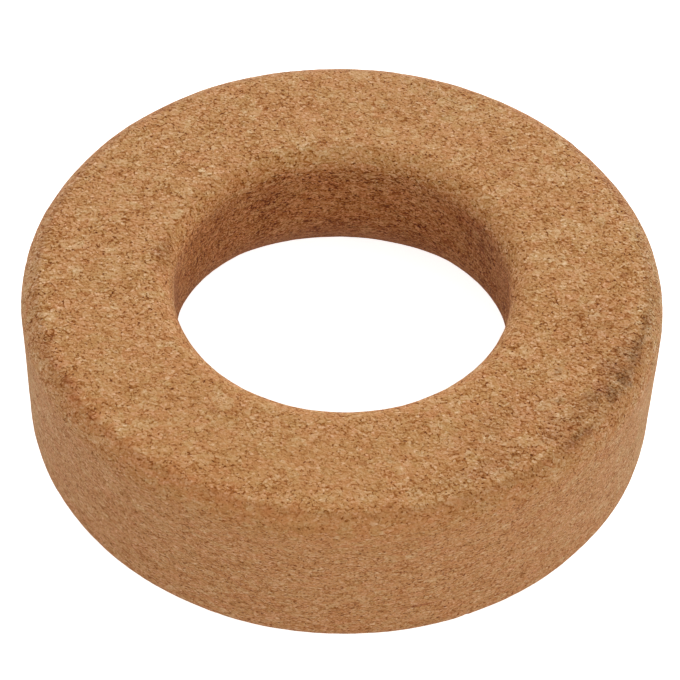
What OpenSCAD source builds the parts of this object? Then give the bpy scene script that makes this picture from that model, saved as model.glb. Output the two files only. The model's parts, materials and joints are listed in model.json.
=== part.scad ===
// Cork ring that holds a round-bottomed laboratory flask upright on a bench.
// It is one piece of pressed granulated cork, turned about the Z axis.
// Frame: +Z up, the origin at the centre of the underside, millimetres.

/* [Ring] */
// Diameter over the outside of the ring
outer_d = 110; // [92:1:180]
// Height of the ring
height = 30; // [24:0.5:60]

/* [Hole] */
// Diameter of the straight part of the hole
bore_d = 57.5; // [20:0.5:74]
// How far the seat opens out beyond the bore, on each side
seat_w = 9.5; // [3:0.25:16]
// Height at which the slope of the seat would meet the wall of the bore
seat_h = 11.25; // [5:0.25:16]
// Radius that blends the slope of the seat into the bore
seat_blend_r = 14; // [2:0.5:24]

/* [Edges] */
// Rounding of the outer edge on top
outer_top_r = 4; // [0.5:0.25:10]
// Rounding of the outer edge underneath
outer_bottom_r = 2.75; // [0.5:0.25:10]
// Rounding of the edge of the bore on top
bore_top_r = 4; // [0.5:0.25:10]
// Rounding of the edge of the seat underneath
seat_mouth_r = 1.5; // [0.5:0.25:4]

/* [Hidden] */
$fn = 180;

cork_colour = [0.69, 0.49, 0.33];
outer_rad = outer_d / 2;
bore_rad = bore_d / 2;
// Cuts reach this far past the surface, so that none ends exactly on it
past = 0.5;

// The corners of the section while its edges are still sharp
seat_mouth = [bore_rad + seat_w, 0];
outer_bottom = [outer_rad, 0];
outer_top = [outer_rad, height];
bore_top = [bore_rad, height];
seat_top = [bore_rad, seat_h];

function unit(v) = v / norm(v);

// The waste between the sharp corner that lies between two neighbours and
// an arc of radius r that touches both of its edges
module corner_waste(before, corner, after, r) {
    a = unit(before - corner);
    b = unit(after - corner);
    half_angle = acos(a * b) / 2;
    bisector = unit(a + b);
    centre = corner + bisector * r / sin(half_angle);
    touch_a = corner + a * r / tan(half_angle);
    touch_b = corner + b * r / tan(half_angle);
    stretch = (r + past) / r;
    difference() {
        polygon([
            centre,
            centre + (touch_a - centre) * stretch,
            corner - bisector * past * 2,
            centre + (touch_b - centre) * stretch
        ]);
        translate(centre) circle(r);
    }
}

// Half of the ring cut through its axis: a block whose foot slopes away from
// the bore, with every edge rounded
module section() {
    difference() {
        polygon([seat_mouth, outer_bottom, outer_top, bore_top, seat_top]);
        corner_waste(seat_mouth, outer_bottom, outer_top, outer_bottom_r);
        corner_waste(outer_bottom, outer_top, bore_top, outer_top_r);
        corner_waste(outer_top, bore_top, seat_top, bore_top_r);
        corner_waste(bore_top, seat_top, seat_mouth, seat_blend_r);
        corner_waste(seat_top, seat_mouth, outer_bottom, seat_mouth_r);
    }
}

module cork_ring() {
    color(cork_colour)
        rotate_extrude()
            section();
}

cork_ring();
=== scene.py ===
import json
import math

import bpy
from bpy.props import FloatProperty, FloatVectorProperty, IntProperty, PointerProperty
from mathutils import Matrix, Vector


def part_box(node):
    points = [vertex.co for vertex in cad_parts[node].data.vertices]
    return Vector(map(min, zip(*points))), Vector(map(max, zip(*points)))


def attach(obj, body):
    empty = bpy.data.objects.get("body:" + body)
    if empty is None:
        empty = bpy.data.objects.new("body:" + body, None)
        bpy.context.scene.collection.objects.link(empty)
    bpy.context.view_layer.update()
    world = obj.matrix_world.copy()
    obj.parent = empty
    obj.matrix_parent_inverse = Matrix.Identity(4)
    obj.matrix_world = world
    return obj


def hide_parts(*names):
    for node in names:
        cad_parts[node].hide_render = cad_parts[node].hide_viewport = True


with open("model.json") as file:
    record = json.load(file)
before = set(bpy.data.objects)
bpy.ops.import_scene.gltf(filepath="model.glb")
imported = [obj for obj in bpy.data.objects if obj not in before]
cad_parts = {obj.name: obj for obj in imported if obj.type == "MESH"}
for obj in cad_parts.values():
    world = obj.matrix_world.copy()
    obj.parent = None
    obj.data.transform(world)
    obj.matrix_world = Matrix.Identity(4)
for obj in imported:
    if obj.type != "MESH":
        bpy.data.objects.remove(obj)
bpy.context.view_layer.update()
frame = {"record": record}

bl_info = {
    "name": "Cork Ring",
    "version": (1, 0, 0),
    "blender": (4, 5, 0),
    "location": "View3D > Sidebar > Cork Ring",
    "description": "Makes a pressed cork flask ring and a plain studio to look at it in",
    "category": "Add Mesh",
}

MM = 0.001
NODE = "cork_ring"
BODY = "root"

# The outer size comes from the frame's node and the bore from its mount.
RING_LOW, RING_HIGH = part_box(NODE)
BORE = next(mount for mount in frame["record"]["mounts"] if mount["name"] == "bore")
OUTER_D = round((RING_HIGH.y - RING_LOW.y) / MM, 1) * MM
HEIGHT = round((RING_HIGH.z - RING_LOW.z) / MM, 1) * MM
BORE_D = 2 * BORE["dims"]["r_mm"] * MM

# How finely the section is swept: steps around the ring, steps along the section, and steps in
# each of its rounded corners.
STEPS_AROUND = 560
STEPS_ALONG = 172
ARC_STEPS = 24

# Relief of the worn surface: the width of its marks, the noise detail, a step between their
# seeds, the part of the noise that is worn, and the size that says how deep it goes.
RELIEF = (
    (14 * MM, 1.0, 0.0, 0.25, 0.75, "Waviness"),
    (2.2 * MM, 2.0, 0.37, 0.3, 0.7, "Crumb"),
    (2.6 * MM, 1.0, 0.71, 0.69, 0.8, "Pit Depth"),
)

# The block is pressed along Z, so granules are this many times wider than they are tall.
PRESSED = 1.8

# The noises are turned off the axes, in radians, so no rows of them line up with those.
GRAIN_TURN = (0.5, 0.35, 0.8)

# Granules: width, how much longer they are along X, and a turn in degrees that sets the three
# sizes apart.
GRANULES = {
    "fine": (0.34 * MM, 1.35, 8),
    "middle": (0.75 * MM, 1.4, -50),
    "coarse": (1.9 * MM, 1.3, 20),
}

# The granules whose outlines are needed, because flakes and chips keep inside them.
OUTLINED = ("fine", "middle")

# How far neighbouring granules push each other out of shape, in granule widths, and the detail of
# the noise that does it.
STIRRED = 0.7
STIRRED_DETAIL = 1.0

# The middle of every noise and of every granule's own values.
MIDDLE = 0.5

# Finer and slower changes: width, detail of the noise, and a shift that sets it apart. The grit
# is drawn coarser than real cork dust, which would be too fine to show. The flat noise and its
# shifted copy are one noise, a little apart, and their difference is painted light and shade that
# lights the granules from one side.
CHANGES = {
    "grit": (0.28 * MM, 0.0, (0.0, 0.0, 0.0)),
    "flat": (0.5 * MM, 0.5, (0.0, 0.0, 0.0)),
    "painted light shift": (0.5 * MM, 0.5, (-0.02 * MM, 0.16 * MM, 0.05 * MM)),
    "pore": (0.5 * MM, 1.0, (3 * MM, 0.0, 0.0)),
    "patch": (2.6 * MM, 1.0, (0.0, 5 * MM, 0.0)),
    "hue": (3 * MM, 2.0, (0.0, 0.0, 9 * MM)),
    "slow": (9 * MM, 2.0, (0.0, 0.0, 0.0)),
    "curl": (1.5 * MM, 1.0, (0.0, 0.0, 4 * MM)),
}

# Where each feature shows: the value it reads, where it starts to show, and where it is full.
FEATURES = (
    # Dark pores, and the two flanks of each curled gap and of the lip beside it.
    ("speck", "pore", 0.38, 0.27),
    ("gap rises", "curl", 0.42, 0.5),
    ("gap falls", "curl", 0.58, 0.5),
    ("lip rises", "curl", 0.5, 0.57),
    ("lip falls", "curl", 0.64, 0.57),
    # Granules that stand open or are paler or darker, and being well inside their outlines.
    ("open", "middle pick", 0.25, 0.6),
    ("pale", "fine pick", 0.86, 0.93),
    ("inside pale", "fine edge", 0.03, 0.08),
    ("bright", "middle hue", 0.90, 0.94),
    ("inside bright", "middle edge", 0.03, 0.12),
    ("pale granule", "coarse pick", 0.84, 0.9),
    ("dark granule", "coarse hue", 0.16, 0.08),
    # Parts of the ring: the outside, the rounding into the hole, and the hole.
    ("side", "radius", 51 * MM, 52.3 * MM),
    ("inner edge", "radius", 33 * MM, 31.5 * MM),
    ("near hole", "radius", 41 * MM, 39 * MM),
    ("below top", "height", 29.3 * MM, 24.8 * MM),
)

# Features that show only where two others meet.
MEETINGS = (
    ("gap", "gap rises", "gap falls"),
    ("lip", "lip rises", "lip falls"),
    ("crack", "gap", "open"),
    ("painted lip highlight", "lip", "open"),
    ("flake", "pale", "inside pale"),
    ("chip", "bright", "inside bright"),
    ("hole", "near hole", "below top"),
)

# The tone is the sum of these changes about its middle, and of these features laid over it.
TONE_CHANGES = (
    ("fine tone", 0.21), ("middle tone", 0.10), ("coarse tone", 0.05),
    # The shifted copy less the flat noise is painted light and shade.
    ("grit", 0.27), ("patch", 0.08), ("slow", 0.08), ("painted light shift", 0.5), ("flat", -0.5),
)
TONE_FEATURES = (
    # The lip beside each curled gap is lightened: a painted highlight.
    ("flake", 0.25), ("chip", 0.16), ("pale granule", 0.07), ("painted lip highlight", 0.13),
    ("dark granule", -0.05), ("crack", -0.19), ("speck", -0.36),
)

# Where the finish's colours lie along the tone.
TONE_STOPS = ((0.0, "pore"), (0.25, "dark"), (0.5, "body"), (1.0, "light"))

# The hue wanders between a redder and a yellower cork.
HUE_CHANGES = (("middle hue", 0.25), ("coarse pick", 0.35), ("hue", 0.4))
REDDER = (1.05, 0.91, 0.88, 1.0)
YELLOWER = (0.96, 1.09, 0.97, 1.0)

# Each skin: how much stronger, or below zero weaker, its grain is than that of the cut faces, and
# the tint that it gives.
SKINS = (
    # The outside, from the top's outer rounding down, is tinted darker and browner: painted shade.
    ("side", -0.16, (0.84, 0.80, 0.80, 1.0)),
    ("inner edge", -0.1, (0.97, 0.955, 0.94, 1.0)),
    # The hole is browner and darker down from its top rounding, partly its own skin and partly
    # painted shade.
    ("hole", 0.85, (0.81, 0.63, 0.46, 1.0)),
)

# Height of the fine grain, before it is scaled to the surface depth.
GRAIN_HEIGHT = (("grit", 1.0), ("fine tone", 0.3), ("speck", -0.8), ("crack", -0.6))

# Marks of handling and wear, with painted light and shade on the walls, on the hole's top rounding
# and in the hole. Each kind makes the grain stronger or weaker and gives a tint, and its outline is
# made ragged by other changes.
PLAIN = (1.0, 1.0, 1.0, 1.0)
MARKS = {
    # Darkened by hands on the upper edge, and painted shade on the hole's left rounding and in the
    # hole; and dirt on top of that, which lies in the pores and brings out the grain.
    "shade": (0.35, (0.72, 0.64, 0.61, 1.0), (("patch", 2.0), ("pore", 1.0))),
    "grime": (0.35, (0.42, 0.35, 0.27, 1.0), (("patch", 1.0), ("pore", 2.0))),
    # A bit of dark bark.
    "bark": (0.2, (0.66, 0.52, 0.42, 1.0), (("pore", 2.5),)),
    # Rubbed or stained browner, and the warmer cork below a rubbed edge.
    "rub": (0.0, (0.93, 0.79, 0.71, 1.0), (("patch", 2.4), ("pore", 0.5))),
    "warm": (0.0, (1.09, 1.04, 1.01, 1.0), (("patch", 1.5),)),
    # The first: paler stretches of the top, painted light on the hole's top rounding and in the hole,
    # and painted sheen at the far left and right ends of the walls. The second: painted sheen, paler
    # and less red, at those same ends.
    "bleach and painted light": (0.0, (1.03, 1.12, 1.22, 1.0), (("patch", 2.4), ("pore", 0.5))),
    "fade": (0.0, (0.98, 1.09, 1.12, 1.0), (("patch", 1.5),)),
    # Painted light: lighter, less red patches at the two ends of the hole.
    "sanded": (0.0, (1.14, 1.14, 1.03, 1.0), (("patch", 1.5),)),
    # Quieter and stronger grain.
    "calm": (-0.5, PLAIN, (("patch", 1.0),)),
    "rough": (0.35, PLAIN, (("patch", 2.0),)),
}

# Where the marks are: kind, strength, degrees about Z, and then in millimetres the radius, the
# height, and how far each reaches along the rim, across it and up.
RIM_R = 51 * MM
PLACES = (
    # The dark, dirty stretch of the upper edge.
    ("shade", 1.0, -25, 49.5, 30, 11, 3.5, 4),
    ("shade", 0.7, -40, 49, 30, 12, 4, 4),
    ("shade", 0.5, -60, 48.5, 30, 14, 4, 4),
    ("shade", 0.35, -15, 45, 30, 12, 6, 4),
    ("shade", 0.35, -50, 42, 30, 16, 5, 4),
    ("grime", 0.7, -21, 51.6, 30, 10, 1.3, 2),
    ("grime", 0.4, -10, 52, 30, 3, 1.1, 2),
    ("grime", 0.45, -17, 51.5, 30, 3, 1.2, 2),
    ("grime", 0.55, -20, 51.5, 30, 2.5, 1.3, 2),
    ("grime", 1.0, -25, 51.5, 30, 2.6, 1.8, 2.5),
    ("grime", 0.9, -29, 51.5, 30, 2.5, 1.6, 2),
    ("grime", 0.6, -32, 49.5, 30, 2.2, 1.5, 2),
    ("grime", 0.45, -42, 52, 30, 3.5, 1.2, 2),
    ("grime", 0.5, -37, 45, 30, 1.3, 0.9, 2),
    ("grime", 0.5, -30, 41.5, 30, 1.6, 0.9, 2),
    # The rubbed part of the upper edge, and the seam low on the wall.
    ("rub", 1.0, -145, 51.5, 30, 12, 1.8, 4),
    ("rub", 0.6, -120, 51, 30, 26, 2, 4),
    ("rub", 0.5, -93, 50.5, 30, 18, 1.2, 3),
    ("warm", 1.0, -105, 53, 29.5, 50, 2, 2.5),
    ("rub", 1.0, -75, 55, 8, 4, 2, 0.5),
    ("bark", 0.9, -76, 55, 8, 2.2, 2, 0.35),
    # Paler stretches of the top, painted light on the back of the hole's top rounding, and painted
    # sheen at the far left and right ends of the outer rounding and the walls.
    ("bleach and painted light", 1.0, 67, 49, 30, 13, 3.5, 4),
    ("bleach and painted light", 0.5, 75, 44, 30, 15, 6, 4),
    ("bleach and painted light", 0.4, 100, 32, 29.5, 18, 2, 2),
    ("bleach and painted light", 1.0, -8, 54.2, 27.5, 25, 2, 3),
    ("bleach and painted light", 0.9, -14, 55, 9, 20, 4, 11),
    ("bleach and painted light", 0.7, -178, 54.5, 26, 8, 3, 5),
    ("bleach and painted light", 0.5, -165, 55, 12, 9, 4, 10),
    ("fade", 0.85, -12, 55, 14, 26, 5, 18),
    ("fade", 1.0, 2, 53.5, 28, 22, 4, 4),
    ("fade", 0.85, -170, 54, 16, 18, 5, 20),
    # The hole and its upper edge: painted shade on the left rounding and in the hole, painted light
    # at the back and at both ends of the hole, and a bit of bark.
    ("shade", 0.8, 172, 31.5, 29, 8, 2, 2),
    ("shade", 0.55, 33, 29, 22, 9, 2, 6),
    ("shade", 0.4, 117, 29, 21, 8, 2, 6),
    ("bleach and painted light", 1.0, 80, 29, 25, 26, 2, 2.5),
    ("sanded", 1.0, 2, 29, 21, 10, 2.5, 7),
    ("sanded", 1.0, 160, 29, 22, 16, 2.5, 8),
    ("bark", 0.9, 31, 29, 22.5, 2.2, 2, 1.4),
    # Bits of bark in the top and along its edge.
    ("bark", 0.9, 2, 48, 30, 1.1, 0.9, 2),
    ("bark", 0.8, -150, 51.5, 30, 1.4, 0.9, 2),
    ("bark", 0.7, -147, 51, 30, 1.2, 0.8, 2),
    ("bark", 0.7, -161, 51, 30, 1.2, 0.8, 2),
    ("bark", 0.8, -84, 42, 30, 1.1, 0.7, 2),
    ("bark", 0.7, 177, 52.5, 30, 1.4, 0.9, 2),
    ("bark", 0.7, -123, 37.5, 30, 1.8, 0.8, 2),
    ("bark", 0.7, -40, 52.5, 30, 1.2, 0.9, 2),
    ("bark", 0.6, 150, 49.5, 30, 1.2, 0.9, 2),
    ("bark", 0.6, 43, 38.5, 30, 1.2, 0.9, 2),
    ("bark", 0.6, 51, 44.5, 30, 1.2, 0.9, 2),
    ("bark", 0.6, -81, 51, 30, 1.4, 0.7, 2),
    # Stretches of quieter and of stronger grain.
    ("calm", 0.7, -108, 42, 30, 62, 14, 6),
    ("calm", 0.35, 82, 43, 30, 38, 13, 6),
    ("calm", 0.65, -92, 53, 28, 52, 5, 6),
    ("rough", 1.0, 15, 52.5, 29, 34, 3, 4),
    ("rough", 1.0, 165, 52.5, 29, 28, 3, 4),
    ("rough", 0.8, -165, 52, 29, 20, 3, 4),
)

# Angles of marks are measured from here, in degrees about Z. That puts the jump in them on the
# far side, where marks hardly reach.
MARKS_FROM = -50

# How far out from its middle a mark starts to show and where it is full, as parts of its reach.
# The ragged outline takes some of that distance off or adds some, so it can be below zero.
MARK_STARTS = 1.25
MARK_FULL = -0.05

# Sanded cork is matt, with a faint bloom of fine fibres where it is seen at a slant.
ROUGHNESS = 0.85
IOR = 1.45
SPECULAR = 0.15
SHEEN = 0.06
SHEEN_ROUGHNESS = 0.5

# The studio: a wide table just under the ring, in a white room. The table glows with TABLE_LIFT
# where the camera sees it, so that it looks white, and with TABLE_GLOW on the ring. The room is
# full white to the camera, and lights the ring with ROOM_LIGHT.
WHITE = (1.0, 1.0, 1.0, 1.0)
TABLE_SIZE = 6.0
TABLE_GAP = 0.02 * MM
TABLE_ROUGHNESS = 0.9
TABLE_LIFT = 0.86
TABLE_GLOW = 0.18
ROOM_LIGHT = 0.74

# Soft lights, all at this distance from the ring: name, degrees about Z from the camera's side,
# degrees above the table, watts, width and height.
LIGHT_DISTANCE = 1.2
LIGHTS = (
    ("back left strip", 225, 8, 3.1, 0.7, 0.3),
    ("back strip", 180, 8, 5.4, 0.7, 0.3),
    ("back right strip", 135, 8, 3.8, 0.7, 0.3),
    ("front softbox", 45, 30, 2.55, 0.7, 0.7),
)

# The camera looks at the ring's middle, then pans and tilts by this much, in radians.
AIM = (0.0005, -0.0026)


def linear(hex_colour):
    """The linear red, green and blue of an sRGB colour written as #RRGGBB."""
    parts = [int(hex_colour[i:i + 2], 16) / 255 for i in (1, 3, 5)]
    return tuple(p / 12.92 if p <= 0.04045 else ((p + 0.055) / 1.055) ** 2.4 for p in parts)


def add_node(tree, kind, inputs=None, **settings):
    """Adds a node with its settings. Each input takes another node's output or a plain value."""
    node = tree.nodes.new(kind)
    for name, value in settings.items():
        setattr(node, name, value)
    for key, value in (inputs or {}).items():
        if isinstance(value, bpy.types.NodeSocket):
            tree.links.new(value, node.inputs[key])
        else:
            node.inputs[key].default_value = value
    return node


def length(name, description, default):
    """A size that a user can change, in metres."""
    return FloatProperty(
        name=name, description=description, default=default, min=0.0, subtype="DISTANCE",
        unit="LENGTH")


def colour(name, description, hex_colour):
    """A colour that a user can change, given as #RRGGBB."""
    return FloatVectorProperty(
        name=name, description=description, default=linear(hex_colour), min=0.0, max=1.0, size=3,
        subtype="COLOR")


# --- What a user can change ----------------------------------------------------

class RingSizes(bpy.types.PropertyGroup):
    outer_d: length("Outer Diameter", "Over the outside of the ring", OUTER_D)
    height: length("Height", "From the underside to the top", HEIGHT)
    bore_d: length("Bore Diameter", "Straight part of the hole", BORE_D)
    seat_w: length("Seat Width", "How far the seat opens out beyond the bore", 9.5 * MM)
    seat_h: length("Seat Height", "Where the slope of the seat meets the bore", 11.25 * MM)
    seat_blend_r: length("Seat Blend", "Radius between the seat and the bore", 14 * MM)
    outer_top_r: length("Outer Top Rounding", "Radius of the top outer edge", 4 * MM)
    outer_bottom_r: length("Outer Bottom Rounding", "Radius of the bottom outer edge", 2.75 * MM)
    bore_top_r: length("Bore Top Rounding", "Radius of the top edge of the hole", 4 * MM)
    seat_mouth_r: length("Seat Mouth Rounding", "Radius where the seat meets the underside", 1.5 * MM)
    wave: length("Waviness", "Depth of the slow hollows left by sanding", 0.12 * MM)
    crumb: length("Crumb", "How much lower some granules lie than others", 0.05 * MM)
    pit: length("Pit Depth", "Depth where a granule has come away", 0.3 * MM)
    seed: IntProperty(name="Seed", description="Picks another set of hollows and pits", default=3)


class CorkFinish(bpy.types.PropertyGroup):
    pore: colour("Pores", "Dark gaps between the granules", "#652A00")
    dark: colour("Dark Granules", "Bark side of the granules", "#96571B")
    body: colour("Body", "Cut faces of most granules", "#C58E5A")
    light: colour("Light Granules", "Palest cut faces", "#F0C6A4")
    bump: length("Surface Depth", "Depth of the fine grain", 0.09 * MM)


class Studio(bpy.types.PropertyGroup):
    table: colour("Table", "Paint on the table top", "#F7F7F6")
    distance: length("Camera Distance", "From the middle of the ring", 447 * MM)
    elevation: FloatProperty(
        name="Camera Elevation", description="Above the horizon", default=math.radians(47.6),
        subtype="ANGLE", unit="ROTATION")
    roll: FloatProperty(
        name="Camera Roll", description="Turn about its line of sight", default=math.radians(1.65),
        subtype="ANGLE", unit="ROTATION")
    lens: FloatProperty(
        name="Lens", description="Focal length", default=135.3, subtype="DISTANCE_CAMERA")


# --- Cork ring -------------------------------------------------------------------

def ring_tree():
    """Geometry nodes that sweep the ring's rounded section about Z and wear its surface down."""
    tree = bpy.data.node_groups.new("Cork Ring", "GeometryNodeTree")
    face = tree.interface
    face.new_socket("Geometry", in_out="OUTPUT", socket_type="NodeSocketGeometry")
    for key, prop in RingSizes.__annotations__.items():
        kind = "NodeSocketInt" if key == "seed" else "NodeSocketFloat"
        face.new_socket(prop.keywords["name"], in_out="INPUT", socket_type=kind)
    face.new_socket("Cork", in_out="INPUT", socket_type="NodeSocketMaterial")
    given = add_node(tree, "NodeGroupInput").outputs

    # The section, drawn in the sweep's own plane: out from the circle that it follows, and down.
    outer = add_node(
        tree, "ShaderNodeMath", {0: given["Outer Diameter"], 1: 0.5}, operation="MULTIPLY").outputs[0]
    bore = add_node(
        tree, "ShaderNodeMath", {0: given["Bore Diameter"], 1: 0.5}, operation="MULTIPLY").outputs[0]
    mouth = add_node(
        tree, "ShaderNodeMath", {0: bore, 1: given["Seat Width"]}, operation="ADD").outputs[0]
    corners = (
        (mouth, 0.0, "Seat Mouth Rounding"),
        (bore, given["Seat Height"], "Seat Blend"),
        (bore, given["Height"], "Bore Top Rounding"),
        (outer, given["Height"], "Outer Top Rounding"),
        (outer, 0.0, "Outer Bottom Rounding"),
    )
    index = add_node(tree, "GeometryNodeInputIndex").outputs[0]
    place = add_node(tree, "GeometryNodeIndexSwitch", {"Index": index}, data_type="VECTOR")
    radius = add_node(tree, "GeometryNodeIndexSwitch", {"Index": index}, data_type="FLOAT")
    # A new switch already has two items.
    for _ in corners[2:]:
        place.index_switch_items.new()
        radius.index_switch_items.new()
    for item, (out, up, rounding) in enumerate(corners, start=1):
        across = add_node(tree, "ShaderNodeMath", {0: out, 1: outer}, operation="SUBTRACT").outputs[0]
        down = add_node(tree, "ShaderNodeMath", {0: up, 1: -1.0}, operation="MULTIPLY").outputs[0]
        corner = add_node(tree, "ShaderNodeCombineXYZ", {"X": across, "Y": down}).outputs[0]
        tree.links.new(corner, place.inputs[item])
        tree.links.new(given[rounding], radius.inputs[item])
    loop = add_node(tree, "GeometryNodeMeshCircle", {"Vertices": len(corners)})
    sharp = add_node(
        tree, "GeometryNodeSetPosition", {"Geometry": loop.outputs[0], "Position": place.outputs[0]})
    outline = add_node(tree, "GeometryNodeMeshToCurve", {"Mesh": sharp.outputs[0]})
    rounded = add_node(
        tree, "GeometryNodeFilletCurve",
        {"Curve": outline.outputs[0], "Count": ARC_STEPS, "Radius": radius.outputs[0]}, mode="POLY")
    section = add_node(
        tree, "GeometryNodeResampleCurve", {"Curve": rounded.outputs[0], "Count": STEPS_ALONG})
    path = add_node(
        tree, "GeometryNodeCurvePrimitiveCircle", {"Resolution": STEPS_AROUND, "Radius": outer})
    swept = add_node(
        tree, "GeometryNodeCurveToMesh",
        {"Curve": path.outputs["Curve"], "Profile Curve": section.outputs[0]})

    # The surface sinks along its own normal by what has been worn off.
    spot = add_node(tree, "GeometryNodeInputPosition").outputs[0]
    depth = 0.0
    for width, detail, step, low, high, size in RELIEF:
        seed = add_node(
            tree, "ShaderNodeMath", {0: given["Seed"], 1: step}, operation="ADD").outputs[0]
        lumps = add_node(
            tree, "ShaderNodeTexNoise",
            {"Vector": spot, "W": seed, "Scale": 1 / width, "Detail": detail},
            noise_dimensions="4D").outputs[0]
        worn = add_node(
            tree, "ShaderNodeMapRange", {"Value": lumps, "From Min": low, "From Max": high},
            interpolation_type="SMOOTHSTEP").outputs[0]
        depth = add_node(
            tree, "ShaderNodeMath", {0: worn, 1: given[size], 2: depth},
            operation="MULTIPLY_ADD").outputs[0]
    sunk = add_node(tree, "ShaderNodeMath", {0: depth, 1: -1.0}, operation="MULTIPLY").outputs[0]
    normal = add_node(tree, "GeometryNodeInputNormal").outputs[0]
    inwards = add_node(
        tree, "ShaderNodeVectorMath", {0: normal, "Scale": sunk}, operation="SCALE").outputs[0]
    sanded = add_node(
        tree, "GeometryNodeSetPosition", {"Geometry": swept.outputs[0], "Offset": inwards})
    smooth = add_node(tree, "GeometryNodeSetShadeSmooth", {"Geometry": sanded.outputs[0]})
    real = add_node(tree, "GeometryNodeRealizeInstances", {"Geometry": smooth.outputs[0]})
    cork = add_node(
        tree, "GeometryNodeSetMaterial", {"Geometry": real.outputs[0], "Material": given["Cork"]})
    add_node(tree, "NodeGroupOutput", {0: cork.outputs[0]})
    return tree


def pressed_cork(finish):
    """Pressed granulated cork: fine bark granules bound under heat, then turned and sanded smooth.

    Cut granules give soft tan faces, each of its own tone and hue, with paler flakes among them.
    Short curled gaps run between them, dark and reddish, each with a painted highlight on the lip
    beside it, where the next granule's edge would catch the light. Pressing along Z has flattened
    the granules, so the sides show fine level streaks. The hole's grain is rougher, and it is
    browner and darker down from its top rounding, partly its own skin and partly painted shade.
    Handling has darkened and dirtied stretches of the upper edge, and other stretches of the top
    are paler. Painted sheen pales the far left and right ends of the walls, and patches of painted
    light and shade lie in the hole and on its top rounding.
    """
    material = bpy.data.materials.new("pressed granulated cork")
    material.use_nodes = True
    tree = material.node_tree
    tree.nodes.clear()

    place = add_node(tree, "ShaderNodeTexCoord").outputs["Object"]
    pressed = add_node(
        tree, "ShaderNodeVectorMath", {0: place, 1: (1.0, 1.0, PRESSED)},
        operation="MULTIPLY").outputs[0]
    turned = add_node(
        tree, "ShaderNodeMapping", {"Vector": pressed, "Rotation": GRAIN_TURN}).outputs[0]
    level = add_node(
        tree, "ShaderNodeVectorMath", {0: place, 1: (1.0, 1.0, 0.0)}, operation="MULTIPLY").outputs[0]
    axes = add_node(tree, "ShaderNodeSeparateXYZ", {0: place}).outputs

    # Every value that the colour and the grain are mixed from, by name.
    value = {
        "radius": add_node(
            tree, "ShaderNodeVectorMath", {0: level}, operation="LENGTH").outputs["Value"],
        "height": axes["Z"],
    }
    for name, (width, detail, shift) in CHANGES.items():
        moved = add_node(tree, "ShaderNodeVectorMath", {0: turned, 1: shift}, operation="ADD")
        value[name] = add_node(
            tree, "ShaderNodeTexNoise",
            {"Vector": moved.outputs[0], "Scale": 1 / width, "Detail": detail}).outputs["Fac"]
    for name, (width, stretch, turn) in GRANULES.items():
        wander = add_node(
            tree, "ShaderNodeTexNoise",
            {"Vector": turned, "Scale": 1 / width, "Detail": STIRRED_DETAIL})
        stirred = add_node(
            tree, "ShaderNodeVectorMath",
            {0: wander.outputs["Color"], 1: (STIRRED * width,) * 3, 2: pressed},
            operation="MULTIPLY_ADD")
        laid = add_node(tree, "ShaderNodeMapping", {
            "Vector": stirred.outputs[0],
            "Rotation": (0.0, 0.0, math.radians(turn)),
            "Scale": (1 / stretch, 1.0, 1.0),
        }).outputs[0]
        cell = add_node(tree, "ShaderNodeTexVoronoi", {"Vector": laid, "Scale": 1 / width})
        channels = add_node(tree, "ShaderNodeSeparateColor", {0: cell.outputs["Color"]}).outputs
        for use, channel in zip(("tone", "pick", "hue"), channels):
            value[f"{name} {use}"] = channel
        if name in OUTLINED:
            value[f"{name} edge"] = add_node(
                tree, "ShaderNodeTexVoronoi", {"Vector": laid, "Scale": 1 / width},
                feature="DISTANCE_TO_EDGE").outputs["Distance"]
    for name, source, start, full in FEATURES:
        value[name] = add_node(
            tree, "ShaderNodeMapRange", {"Value": value[source], "From Min": start, "From Max": full},
            interpolation_type="SMOOTHSTEP").outputs[0]
    for name, first, second in MEETINGS:
        value[name] = add_node(
            tree, "ShaderNodeMath", {0: value[first], 1: value[second]},
            operation="MULTIPLY").outputs[0]

    # Marks lie along the rim, so they are placed by angle, radius and height.
    spun = add_node(tree, "ShaderNodeMapping", {
        "Vector": place, "Rotation": (0.0, 0.0, math.radians(-MARKS_FROM))}).outputs[0]
    flat = add_node(tree, "ShaderNodeSeparateXYZ", {0: spun}).outputs
    angle = add_node(
        tree, "ShaderNodeMath", {0: flat["Y"], 1: flat["X"]}, operation="ARCTAN2").outputs[0]
    along = add_node(tree, "ShaderNodeMath", {0: angle, 1: RIM_R}, operation="MULTIPLY").outputs[0]
    unrolled = add_node(tree, "ShaderNodeCombineXYZ", {
        "X": along, "Y": value["radius"], "Z": value["height"]}).outputs[0]
    for kind, (_, _, parts) in MARKS.items():
        ragged = MIDDLE * sum(weight for _, weight in parts)
        for source, weight in parts:
            ragged = add_node(
                tree, "ShaderNodeMath", {0: value[source], 1: -weight, 2: ragged},
                operation="MULTIPLY_ADD").outputs[0]
        value[f"{kind} outline"] = ragged
        value[kind] = 0.0
    for kind, strength, degrees, out, up, reach, across, tall in PLACES:
        turn = (degrees - MARKS_FROM + 180) % 360 - 180
        near = add_node(tree, "ShaderNodeMapping", {
            "Vector": unrolled,
            "Location": (math.radians(turn) * RIM_R, out * MM, up * MM),
            "Scale": (reach * MM, across * MM, tall * MM),
        }, vector_type="TEXTURE").outputs[0]
        far = add_node(tree, "ShaderNodeVectorMath", {0: near}, operation="LENGTH").outputs["Value"]
        edge = add_node(
            tree, "ShaderNodeMath", {0: far, 1: value[f"{kind} outline"]}, operation="ADD").outputs[0]
        mark = add_node(
            tree, "ShaderNodeMapRange",
            {"Value": edge, "From Min": MARK_STARTS, "From Max": MARK_FULL, "To Max": strength},
            interpolation_type="SMOOTHSTEP").outputs[0]
        value[kind] = add_node(
            tree, "ShaderNodeMath", {0: mark, 1: value[kind]}, operation="MAXIMUM").outputs[0]

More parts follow.
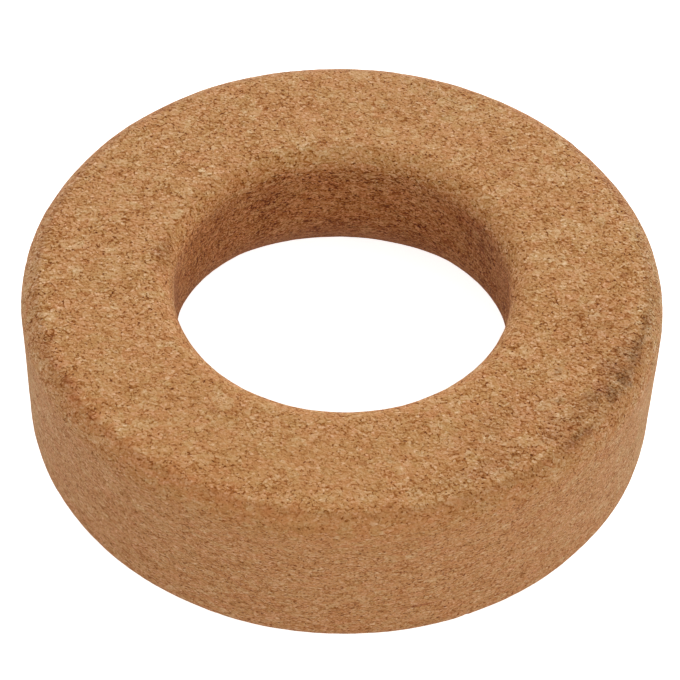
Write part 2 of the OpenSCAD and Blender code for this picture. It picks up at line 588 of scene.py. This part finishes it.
    gains = [(name, gain) for name, gain, _ in SKINS]
    gains += [(kind, gain) for kind, (gain, _, _) in MARKS.items()]
    # Each sum starts from a total and adds its parts.
    start = MIDDLE - MIDDLE * sum(weight for _, weight in TONE_CHANGES)
    sums = {
        "tone": (start, TONE_CHANGES + TONE_FEATURES),
        "hue mix": (0.0, HUE_CHANGES),
        "contrast": (1.0, gains),
        "grain": (0.0, GRAIN_HEIGHT),
    }
    for name, (total, parts) in sums.items():
        for source, weight in parts:
            total = add_node(
                tree, "ShaderNodeMath", {0: value[source], 1: weight, 2: total},
                operation="MULTIPLY_ADD").outputs[0]
        value[name] = total
    apart = add_node(tree, "ShaderNodeMath", {0: value["tone"], 1: MIDDLE}, operation="SUBTRACT")
    tone = add_node(
        tree, "ShaderNodeMath", {0: apart.outputs[0], 1: value["contrast"], 2: MIDDLE},
        operation="MULTIPLY_ADD").outputs[0]

    ramp = add_node(tree, "ShaderNodeValToRGB", {0: tone})
    elements = ramp.color_ramp.elements
    # A new ramp already has two stops.
    for position, _ in TONE_STOPS[2:]:
        elements.new(position)
    for element, (position, name) in zip(elements, TONE_STOPS):
        element.position = position
        element.color = (*getattr(finish, name), 1.0)

    shade = ramp.outputs[0]
    tints = [("hue mix", REDDER, YELLOWER)]
    tints += [(name, PLAIN, tint) for name, _, tint in SKINS]
    tints += [(kind, PLAIN, tint) for kind, (_, tint, _) in MARKS.items() if tint != PLAIN]
    for name, low, high in tints:
        tint = add_node(
            tree, "ShaderNodeMix", {"Factor": value[name], "A": low, "B": high}, data_type="RGBA")
        shade = add_node(
            tree, "ShaderNodeMix", {"Factor": 1.0, "A": shade, "B": tint.outputs["Result"]},
            data_type="RGBA", blend_type="MULTIPLY").outputs["Result"]

    bump = add_node(
        tree, "ShaderNodeBump", {"Height": value["grain"], "Distance": finish.bump, "Strength": 1.0})
    shader = add_node(tree, "ShaderNodeBsdfPrincipled", {
        "Base Color": shade,
        "Normal": bump.outputs[0],
        "Roughness": ROUGHNESS,
        "IOR": IOR,
        "Specular IOR Level": SPECULAR,
        "Sheen Weight": SHEEN,
        "Sheen Roughness": SHEEN_ROUGHNESS,
    })
    add_node(tree, "ShaderNodeOutputMaterial", {0: shader.outputs[0]})
    return material


class MESH_OT_cork_ring(bpy.types.Operator):
    """Makes the cork ring at its real size, with the worn surface of pressed cork"""
    bl_idname = "mesh.cork_ring"
    bl_label = "Cork Ring"

    def execute(self, context):
        sizes = context.scene.cork_ring_sizes
        tree = ring_tree()
        blank = bpy.data.meshes.new("blank")
        carrier = bpy.data.objects.new("cork_ring_body", blank)
        context.scene.collection.objects.link(carrier)
        modifier = carrier.modifiers.new("Cork Ring", "NODES")
        modifier.node_group = tree
        inputs = [item for item in tree.interface.items_tree if item.in_out == "INPUT"]
        sockets = {item.name: item.identifier for item in inputs}
        for key, prop in RingSizes.__annotations__.items():
            modifier[sockets[prop.keywords["name"]]] = getattr(sizes, key)
        modifier[sockets["Cork"]] = pressed_cork(context.scene.cork_finish)
        depsgraph = context.evaluated_depsgraph_get()
        mesh = bpy.data.meshes.new_from_object(carrier.evaluated_get(depsgraph), depsgraph=depsgraph)
        if not mesh.polygons:
            raise RuntimeError("the ring's section doesn't close: check the sizes")
        carrier.modifiers.remove(modifier)
        carrier.data = mesh
        mesh.name = carrier.name
        bpy.data.meshes.remove(blank)
        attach(carrier, BODY)
        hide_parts(NODE)
        return {"FINISHED"}


# --- Studio ----------------------------------------------------------------------

def white_table(paint):
    """Matt white paint on a flat table top.

    It scatters light evenly and shows hardly any gloss. To the eye it is lifted to near white, as
    a studio table is, so the ring's shadow on it stays faint. The ring gets a softer glow from it.
    """
    material = bpy.data.materials.new("matt white painted table")
    material.use_nodes = True
    tree = material.node_tree
    shader = tree.nodes["Principled BSDF"]
    shader.inputs["Base Color"].default_value = (*paint, 1.0)
    shader.inputs["Roughness"].default_value = TABLE_ROUGHNESS
    shader.inputs["Emission Color"].default_value = WHITE
    seen = add_node(tree, "ShaderNodeLightPath").outputs["Is Camera Ray"]
    lift = add_node(
        tree, "ShaderNodeMath", {0: seen, 1: TABLE_LIFT - TABLE_GLOW, 2: TABLE_GLOW},
        operation="MULTIPLY_ADD").outputs[0]
    tree.links.new(lift, shader.inputs["Emission Strength"])
    return material


class SCENE_OT_cork_ring_studio(bpy.types.Operator):
    """Makes a white table, soft white lights and the camera"""
    bl_idname = "scene.cork_ring_studio"
    bl_label = "Studio"

    def execute(self, context):
        scene, studio = context.scene, context.scene.cork_ring_studio
        reach = TABLE_SIZE / 2
        floor_mesh = bpy.data.meshes.new("floor")
        floor_mesh.from_pydata(
            [(-reach, -reach, 0), (reach, -reach, 0), (reach, reach, 0), (-reach, reach, 0)], [],
            [(0, 1, 2, 3)])
        floor_mesh.materials.append(white_table(studio.table))
        floor = bpy.data.objects.new("floor", floor_mesh)
        floor.location.z = -TABLE_GAP
        scene.collection.objects.link(floor)

        middle = Vector((0.0, 0.0, HEIGHT / 2))
        for name, azimuth, elevation, power, width, height in LIGHTS:
            turn, rise = math.radians(azimuth), math.radians(elevation)
            level = math.cos(rise)
            towards = Vector((math.sin(turn) * level, -math.cos(turn) * level, math.sin(rise)))
            light = bpy.data.lights.new(name, "AREA")
            light.shape = "RECTANGLE"
            light.size = width
            light.size_y = height
            light.energy = power
            lamp = bpy.data.objects.new(name, light)
            lamp.location = middle + LIGHT_DISTANCE * towards
            lamp.rotation_euler = (-towards).to_track_quat("-Z", "Y").to_euler()
            scene.collection.objects.link(lamp)

        world = bpy.data.worlds.new("white room")
        world.use_nodes = True
        tree = world.node_tree
        seen = add_node(tree, "ShaderNodeLightPath").outputs["Is Camera Ray"]
        strength = add_node(
            tree, "ShaderNodeMath", {0: seen, 1: 1.0 - ROOM_LIGHT, 2: ROOM_LIGHT},
            operation="MULTIPLY_ADD").outputs[0]
        background = tree.nodes["Background"]
        background.inputs["Color"].default_value = WHITE
        tree.links.new(strength, background.inputs["Strength"])
        scene.world = world
        scene.view_settings.view_transform = "Standard"

        camera = bpy.data.cameras.new("camera")
        camera.lens = studio.lens
        lens = bpy.data.objects.new("camera", camera)
        back = Vector((0.0, -math.cos(studio.elevation), math.sin(studio.elevation)))
        lens.location = middle + studio.distance * back
        facing = (-back).to_track_quat("-Z", "Y").to_matrix()
        pan, tilt = AIM
        aim = Matrix.Rotation(tilt, 3, "X") @ Matrix.Rotation(pan, 3, "Y")
        lens.rotation_euler = (facing @ Matrix.Rotation(studio.roll, 3, "Z") @ aim).to_euler()
        scene.collection.objects.link(lens)
        scene.camera = lens
        return {"FINISHED"}


class VIEW3D_PT_cork_ring(bpy.types.Panel):
    """Lists what can be made and the sizes that it's made with"""
    bl_idname = "VIEW3D_PT_cork_ring"
    bl_label = "Cork Ring"
    bl_space_type = "VIEW_3D"
    bl_region_type = "UI"
    bl_category = "Cork Ring"

    def draw(self, context):
        for piece in (MESH_OT_cork_ring, SCENE_OT_cork_ring_studio):
            self.layout.operator(piece.bl_idname)
        for name in ("cork_ring_sizes", "cork_finish", "cork_ring_studio"):
            box = self.layout.box()
            group = getattr(context.scene, name)
            for key in type(group).__annotations__:
                box.prop(group, key)


CLASSES = (
    RingSizes, CorkFinish, Studio, MESH_OT_cork_ring, SCENE_OT_cork_ring_studio, VIEW3D_PT_cork_ring,
)


def register():
    for kind in CLASSES:
        bpy.utils.register_class(kind)
    bpy.types.Scene.cork_ring_sizes = PointerProperty(type=RingSizes)
    bpy.types.Scene.cork_finish = PointerProperty(type=CorkFinish)
    bpy.types.Scene.cork_ring_studio = PointerProperty(type=Studio)


def unregister():
    del bpy.types.Scene.cork_ring_studio
    del bpy.types.Scene.cork_finish
    del bpy.types.Scene.cork_ring_sizes
    for kind in reversed(CLASSES):
        bpy.utils.unregister_class(kind)


def main():
    register()
    bpy.ops.mesh.cork_ring()
    bpy.ops.scene.cork_ring_studio()


if __name__ == "__main__":
    main()
